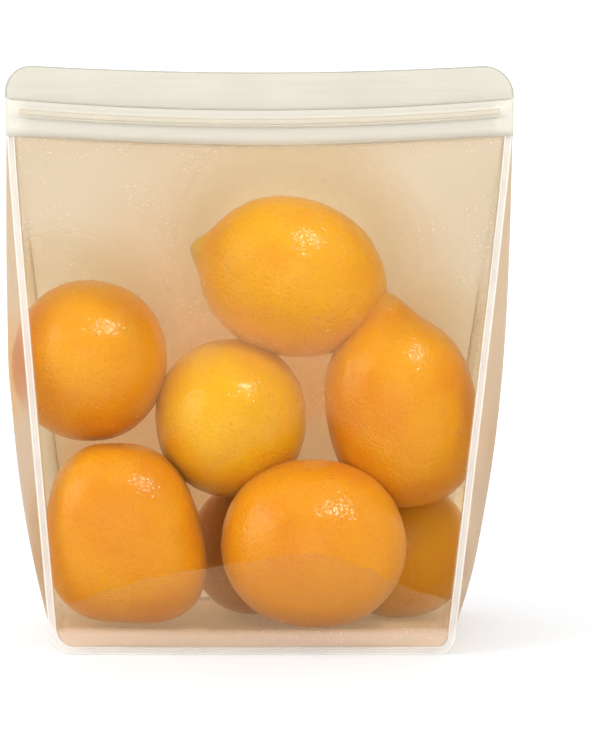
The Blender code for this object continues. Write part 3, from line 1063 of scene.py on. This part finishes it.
class FilmSettings(bpy.types.PropertyGroup):
    wall: FloatProperty(name="Wall", description="Thickness of the film", default=FILM, unit="LENGTH")
    # Painted light: a painted orange glow and painted shade from the fruit, low on the bag
    low_tint_with_painted_glow: FloatVectorProperty(
        name="Tint with painted glow and shade among the fruit", description="Colour of the film low on the bag",
        default=(0.63, 0.29, 0.09), subtype="COLOR",
    )
    # Painted light: a painted orange glow from the fruit, half way up the bag
    middle_tint_with_painted_glow: FloatVectorProperty(
        name="Tint with painted glow above the fruit", description="Colour of the film half way up",
        default=(0.66, 0.475, 0.285), subtype="COLOR",
    )
    high_tint: FloatVectorProperty(
        name="Tint under the zip", description="Colour of the film at the zip and the sides",
        default=(0.70, 0.62, 0.49), subtype="COLOR",
    )
    # Painted light: the hem is painted lighter, as if lit from the front
    hem_tint_with_painted_light: FloatVectorProperty(
        name="Tint with painted light on the hem", description="Colour of the film in the strip along the bottom",
        default=(0.88, 0.74, 0.60), subtype="COLOR",
    )
    front_haze: FloatVectorProperty(
        name="Front haze", description="Near and far distance to the fruit, and the share hidden at each",
        default=(0.021, 0.036, 0.012, 0.62), size=4, precision=3,
    )
    back_haze: FloatVectorProperty(
        name="Back haze", description="The same for the back panel",
        default=(0.000, 0.012, 0.42, 0.74), size=4, precision=3,
    )
    gusset_haze: FloatVectorProperty(
        name="Gusset haze", description="The same for the gusset",
        default=(0.000, 0.012, 0.20, 0.68), size=4, precision=3,
    )
    fold_haze: FloatVectorProperty(
        name="Fold haze", description="The same for the gusset's front fold",
        default=(0.006, 0.03, 0.09, 0.28), size=4, precision=3,
    )
    front_pane: FloatVectorProperty(
        name="Front pane", description="Colour of the light that passes straight through the front",
        default=(0.985, 0.955, 0.87), subtype="COLOR",
    )
    fold_pane: FloatVectorProperty(
        name="Fold pane", description="The same for the gusset's front fold",
        default=(0.99, 0.98, 0.95), subtype="COLOR",
    )
    back_pane: FloatVectorProperty(
        name="Back pane", description="The same for the back panel and the gusset",
        default=(0.82, 0.62, 0.38), subtype="COLOR",
    )


class ZipSettings(bpy.types.PropertyGroup):
    tint: FloatVectorProperty(
        name="Lips", description="Colour of the lips", default=(0.71, 0.68, 0.585), subtype="COLOR"
    )
    band: FloatVectorProperty(
        name="Zip band", description="Colour of the zip band", default=(0.83, 0.80, 0.71), subtype="COLOR"
    )
    track: FloatVectorProperty(
        name="Zip", description="Colour of the zip's rails", default=(0.88, 0.81, 0.68), subtype="COLOR"
    )
    crease: FloatVectorProperty(
        name="Creases", description="Colour of the fine lines of the mouth", default=(0.60, 0.57, 0.48),
        subtype="COLOR",
    )
    weld: FloatVectorProperty(
        name="Welds", description="Colour of the welded edges", default=(0.97, 0.96, 0.93), subtype="COLOR"
    )


class StageSettings(bpy.types.PropertyGroup):
    key: FloatProperty(
        name="Key light", description="Power of the softbox", default=11.0, unit="POWER",
    )
    fill: FloatProperty(
        name="Fill light", description="Power of the light at the left", default=11.0, unit="POWER",
    )
    front: FloatProperty(
        name="Front light", description="Power of the light in front", default=10.0, unit="POWER",
    )
    ambient: FloatProperty(name="Surroundings", description="Light from the white room", default=0.86)


# Operators ----------------------------------------------------------------------------------------
class FOODBAG_OT_fruit(bpy.types.Operator):
    """Build the citrus fruit in the bag"""

    bl_idname = "foodbag.fruit"
    bl_label = "Fruit"

    def execute(self, context):
        settings = context.scene.foodbag_fruit
        peel = peel_material(settings)
        tree = fruit_nodes()
        for number, name in enumerate(FRUIT):
            fruit = make_fruit(name, tree, settings, peel, 0.37 * (number + 1))
            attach(fruit, BODY)
            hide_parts("bag")
        return {"FINISHED"}


class FOODBAG_OT_panels(bpy.types.Operator):
    """Build the front and back panels of film, drawn tight over the fruit"""

    bl_idname = "foodbag.panels"
    bl_label = "Panels"

    def execute(self, context):
        settings = context.scene.foodbag_film
        front_film = film_material(
            "frosted_front_film", settings, settings.front_haze, settings.front_pane, speckled=True
        )
        back_film = film_material("frosted_back_film", settings, settings.back_haze, settings.back_pane)
        for name, side, film in (("front_panel", -1, front_film), ("back_panel", 1, back_film)):
            way = Vector((0, side, 0))
            rows = upright(draw_tight(leaned(panel_rows(side)), lambda j, i, way=way: way))
            if side < 0:
                DRAWN["front"] = rows
            film_piece(name, rows, film, film_inside(), settings.wall)
        return {"FINISHED"}


DRAWN = {}  # the front panel's rows, for the fold behind it


class FOODBAG_OT_fold(bpy.types.Operator):
    """Build the gusset's front fold, which lies behind the lower part of the front panel"""

    bl_idname = "foodbag.fold"
    bl_label = "Front fold"

    def execute(self, context):
        settings = context.scene.foodbag_film
        film = film_material(
            "frosted_fold_film", settings, settings.fold_haze, settings.fold_pane, lift=0.2
        )
        if "front" not in DRAWN:
            raise RuntimeError("the front fold is laid behind the front panel, which isn't built yet")
        front = DRAWN["front"]
        sections = []
        for k in range(FOLD_ROWS + 1):
            section = []
            rise = k / FOLD_ROWS
            for i in range(FOLD_MARGIN, COLUMNS + 1 - FOLD_MARGIN):
                low = front[FOLD_START][i].z
                x = front[CORNER_STEPS][i].x
                high = max(fold_height(x), low + FOLD_LEAST)
                point = panel_point(front, i, low + (high - low) * rise)
                point.y += FOLD_BEHIND + FOLD_FLARE * rise**6
                section.append(point)
            sections.append(section)
        film_piece("gusset_front_fold", sections, film, film_inside(), FOLD_FILM)
        return {"FINISHED"}


class FOODBAG_OT_gusset(bpy.types.Operator):
    """Build the gusset: down one side, across the bottom and up the other side"""

    bl_idname = "foodbag.gusset"
    bl_label = "Gusset"

    def execute(self, context):
        settings = context.scene.foodbag_film
        film = film_material(
            "frosted_gusset_film", settings, settings.gusset_haze, settings.back_pane, lift=0.12, edge=0.1
        )
        sections, ways = gusset_sections(panel_rows(-1), panel_rows(1))
        drawn = upright(draw_tight(leaned(sections), lambda j, i: ways[j]))
        film_piece("gusset", drawn, film, film_inside(), settings.wall)
        return {"FINISHED"}


RIM_HALF = 0.00045  # half the thickness of a welded rim
RIM_RIPPLE = 0.0004
WELD_LAP = 0.0001  # what the rim laps over the film
# Ridges along a weld: half width, distance out from the seam and how far each stands proud
WELD_RIDGES = (
    ("inner_ridge", 0.00022, 0.00035, 0.00005),
    ("outer_ridge", 0.00020, WELD_WIDTH - 0.0006, 0.00002),
)


class FOODBAG_OT_welds(bpy.types.Operator):
    """Build the flat welded rims along the seams of both panels"""

    bl_idname = "foodbag.welds"
    bl_label = "Welds"

    def execute(self, context):
        settings = context.scene.foodbag_zip
        tree = strip_nodes()
        for name, side, cover, ridge_cover in (("front_weld", -1, 0.42, 0.75), ("back_weld", 1, 0.36, 0.5)):
            finish = milky_material(name + "_film", settings.weld, cover, 0.35)
            line = milky_material(name + "_ridge", settings.weld, ridge_cover, 0.3)
            path = seam_path(panel_rows(side))
            ways = [outward(path, k) for k in range(len(path))]
            path = leaned([path])[0]
            inwards = -side * WELD_THICKNESS / 2
            half = WELD_WIDTH / 2
            parts = [strip("rim", tree, path, ways, finish, Half_width=half, Half_thickness=RIM_HALF,
                           Set_out=half - WELD_LAP, Set_back=inwards, Squareness=6.0, Ripple=RIM_RIPPLE)]
            for label, half, out, proud in WELD_RIDGES:
                parts.append(strip(label, tree, path, ways, line, Half_width=half, Half_thickness=half,
                                   Set_out=out, Set_back=side * proud, Squareness=2.0))
            declare(joined(name, parts))
        return {"FINISHED"}


CREASE_REACH = MOUTH_WIDTH / 2 - 0.0012  # half the length of the crease
TRACK_REACH = MOUTH_WIDTH / 2 - SIDE_SEAL + 0.001  # the same of the zip's ribs
# Lines moulded along the mouth: finish, height above the belly, distance from the middle plane, half
# width, half thickness and half length
MOUTH_LINES = (
    ("crease", "crease", BAND_HEIGHT + 0.0004, BAND_HALF, 0.00016, 0.00022, CREASE_REACH),
    ("track_top", "rib", BEAD_LEVEL + 0.0014, BEAD_HALF, 0.0003, 0.00022, TRACK_REACH),
    ("track_middle", "rib", BEAD_LEVEL, BEAD_HALF + 0.0002, 0.0009, 0.00022, TRACK_REACH),
    ("track_low", "rib", BEAD_LEVEL - 0.0015, BEAD_HALF, 0.0003, 0.00022, TRACK_REACH),
)
MOUTH_MIDDLE = Vector((0, 0, 0.22))


class FOODBAG_OT_mouth(bpy.types.Operator):
    """Build the zip band and the lips of doubled film, with their side seals"""

    bl_idname = "foodbag.mouth"
    bl_label = "Mouth"

    def execute(self, context):
        settings = context.scene.foodbag_zip
        finish = mouth_material("doubled_film", settings)
        lines = {
            "crease": milky_material("zip_crease", settings.crease, 0.8, 0.5),
            "rib": milky_material("zip_track", settings.track, 0.8, 0.35, 0.3),
        }
        edge = milky_material("lip_edge", settings.crease, 0.5, 0.4)
        tree = strip_nodes()
        up = Vector((0, 0, 1))
        for name, side in (("front_mouth", -1), ("back_mouth", 1)):
            sheet = lofted(name, mouth_rows(side))
            face_outwards(sheet, MOUTH_MIDDLE)
            thicken(sheet, FILM, finish, film_inside())
            parts = [sheet]
            for label, line, level, half, wide, thick, length in MOUTH_LINES:
                path = along_mouth(level, side, half, length)
                parts.append(strip(label, tree, path, [up] * len(path), lines[line], Half_width=wide,
                                   Half_thickness=thick, Squareness=2.5))
            rim, ways = lip_edge(side)
            parts.append(strip("lip_edge", tree, rim, ways, edge, Half_width=0.0002,
                               Half_thickness=0.0003, Set_out=-0.0001, Squareness=2.0))
            piece = joined(name, parts)
            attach(piece, BODY)
            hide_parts("bag")
        return {"FINISHED"}


class FOODBAG_OT_zip(bpy.types.Operator):
    """Give the zip's rails their plastic"""

    bl_idname = "foodbag.zip"
    bl_label = "Zip rails"

    def execute(self, context):
        settings = context.scene.foodbag_zip
        plastic = milky_material("zip_plastic", settings.track, 0.92, 0.35, 0.2)
        for name in ("zip_rail_front", "zip_rail_back"):
            for place in frame["nodes"][name].material_slots:
                place.material = plastic
        return {"FINISHED"}


LIT_POINT = Vector((0, 0, 0.11))
# Softboxes: the way from the lit point, the distance, the size and the setting that gives the power
SOFTBOXES = (
    ("key_softbox", (0.334, -0.464, 0.832), 1.6, 0.40, "key"),
    ("left_light", (-0.86, -0.30, 0.42), 1.8, 1.2, "fill"),
    ("front_light", (-0.10, -0.98, 0.02), 2.4, 1.6, "front"),
)


class FOODBAG_OT_stage(bpy.types.Operator):
    """Build the pale floor and backdrop, the soft lights and the camera"""

    bl_idname = "foodbag.stage"
    bl_label = "Stage"

    def execute(self, context):
        settings = context.scene.foodbag_stage
        add_floor()
        add_surroundings(context.scene, settings.ambient)
        for name, way, distance, size, power in SOFTBOXES:
            add_softbox(name, Vector(way), distance, size, getattr(settings, power))
        light_only_the_bag("key_softbox")
        add_camera(context.scene)
        return {"FINISHED"}


# Stage --------------------------------------------------------------------------------------------
FLOOR_FRONT = -2.5
FLOOR_BACK = 1.2
FLOOR_HALF = 4.0
SWEEP = 1.0  # radius of the sweep between floor and backdrop
SWEEP_STEPS = 24
BACKDROP_HEIGHT = 3.5


def add_floor():
    """A floor that sweeps up into a backdrop far behind the bag."""
    profile = [(FLOOR_FRONT, 0.0), (FLOOR_BACK, 0.0)]
    for k in range(1, SWEEP_STEPS + 1):
        angle = math.pi / 2 * k / SWEEP_STEPS
        profile.append((FLOOR_BACK + SWEEP * math.sin(angle), SWEEP * (1 - math.cos(angle))))
    profile.append((FLOOR_BACK + SWEEP, BACKDROP_HEIGHT))
    columns = [FLOOR_HALF * share for share in (-1.0, -0.5, 0.0, 0.5, 1.0)]
    floor = lofted("floor", [[Vector((x, y, z)) for x in columns] for y, z in profile])
    if floor.data.polygons[0].normal.z < 0:
        floor.data.flip_normals()
    floor.data.materials.append(stage_material("white_paper"))


def add_surroundings(scene, strength):
    world = bpy.data.worlds.new("white_room")
    world.use_nodes = True
    nodes = Nodes(world.node_tree)
    background = world.node_tree.nodes["Background"]
    background.inputs["Color"].default_value = (1.0, 1.0, 1.0, 1.0)
    seen = nodes.add("ShaderNodeLightPath").outputs["Is Camera Ray"]
    nodes.put(background.inputs["Strength"], nodes.spread(seen, 0.0, 1.0, strength, 1.0, smooth=False))
    scene.world = world
    scene.view_settings.view_transform = "Standard"
    scene.cycles.transparent_max_bounces = 24
    scene.cycles.max_bounces = 5
    scene.cycles.diffuse_bounces = 3
    scene.cycles.glossy_bounces = 2
    scene.cycles.transmission_bounces = 4
    scene.cycles.adaptive_threshold = 0.2
    scene.cycles.caustics_reflective = False


def add_softbox(name, way, distance, size, power):
    light = bpy.data.lights.new(name, "AREA")
    light.shape = "SQUARE"
    light.size = size
    light.energy = power
    lamp = link(bpy.data.objects.new(name, light))
    lamp.location = LIT_POINT + way.normalized() * distance
    lamp.rotation_euler = (-way).to_track_quat("-Z", "Y").to_euler()


def light_only_the_bag(name):
    """Keeps a light off the floor, so that it throws no shadow there."""
    lit = bpy.data.collections.new("food_bag")
    for obj in bpy.data.objects:
        if obj.type == "MESH" and obj.name != "floor":
            lit.objects.link(obj)
    bpy.data.objects[name].light_linking.receiver_collection = lit


def add_camera(scene):
    data = bpy.data.cameras.new("camera")
    data.sensor_fit = "VERTICAL"
    data.sensor_height = SENSOR
    data.lens = PIXELS_PER_METRE * VIEW_DISTANCE / VIEW_HEIGHT * SENSOR
    data.shift_x = -(TARGET_PIXEL[0] - VIEW_WIDTH / 2) / VIEW_HEIGHT
    data.shift_y = (TARGET_PIXEL[1] - VIEW_HEIGHT / 2) / VIEW_HEIGHT
    data.clip_start = 0.05
    camera = link(bpy.data.objects.new("camera", data))
    ahead = Vector((0, math.cos(VIEW_ELEVATION), -math.sin(VIEW_ELEVATION)))
    camera.location = VIEW_TARGET - ahead * VIEW_DISTANCE
    camera.rotation_euler = (math.radians(90) - VIEW_ELEVATION, 0, 0)
    scene.camera = camera


# Panel and registration ---------------------------------------------------------------------------
OPERATORS = (
    FOODBAG_OT_fruit,
    FOODBAG_OT_panels,
    FOODBAG_OT_fold,
    FOODBAG_OT_gusset,
    FOODBAG_OT_welds,
    FOODBAG_OT_mouth,
    FOODBAG_OT_zip,
    FOODBAG_OT_stage,
)
SETTINGS = {
    "foodbag_fruit": FruitSettings,
    "foodbag_film": FilmSettings,
    "foodbag_zip": ZipSettings,
    "foodbag_stage": StageSettings,
}


class FOODBAG_PT_sidebar(bpy.types.Panel):
    """The bag's settings and pieces in the 3D view's sidebar"""

    bl_label = "Food bag"
    bl_idname = "FOODBAG_PT_sidebar"
    bl_space_type = "VIEW_3D"
    bl_region_type = "UI"
    bl_category = "Food bag"

    def draw(self, context):
        for group, kind in SETTINGS.items():
            box = self.layout.box()
            box.label(text=kind.__name__.replace("Settings", ""))
            for label in kind.__annotations__:
                box.prop(getattr(context.scene, group), label)
        for operator in OPERATORS:
            self.layout.operator(operator.bl_idname)


def register():
    for kind in (*SETTINGS.values(), *OPERATORS, FOODBAG_PT_sidebar):
        bpy.utils.register_class(kind)
    for name, kind in SETTINGS.items():
        setattr(bpy.types.Scene, name, PointerProperty(type=kind))


def unregister():
    for name in SETTINGS:
        delattr(bpy.types.Scene, name)
    for kind in reversed((*SETTINGS.values(), *OPERATORS, FOODBAG_PT_sidebar)):
        bpy.utils.unregister_class(kind)


def main():
    register()
    for operator in OPERATORS:
        family, name = operator.bl_idname.split(".")
        getattr(getattr(bpy.ops, family), name)()


if __name__ == "__main__":
    main()
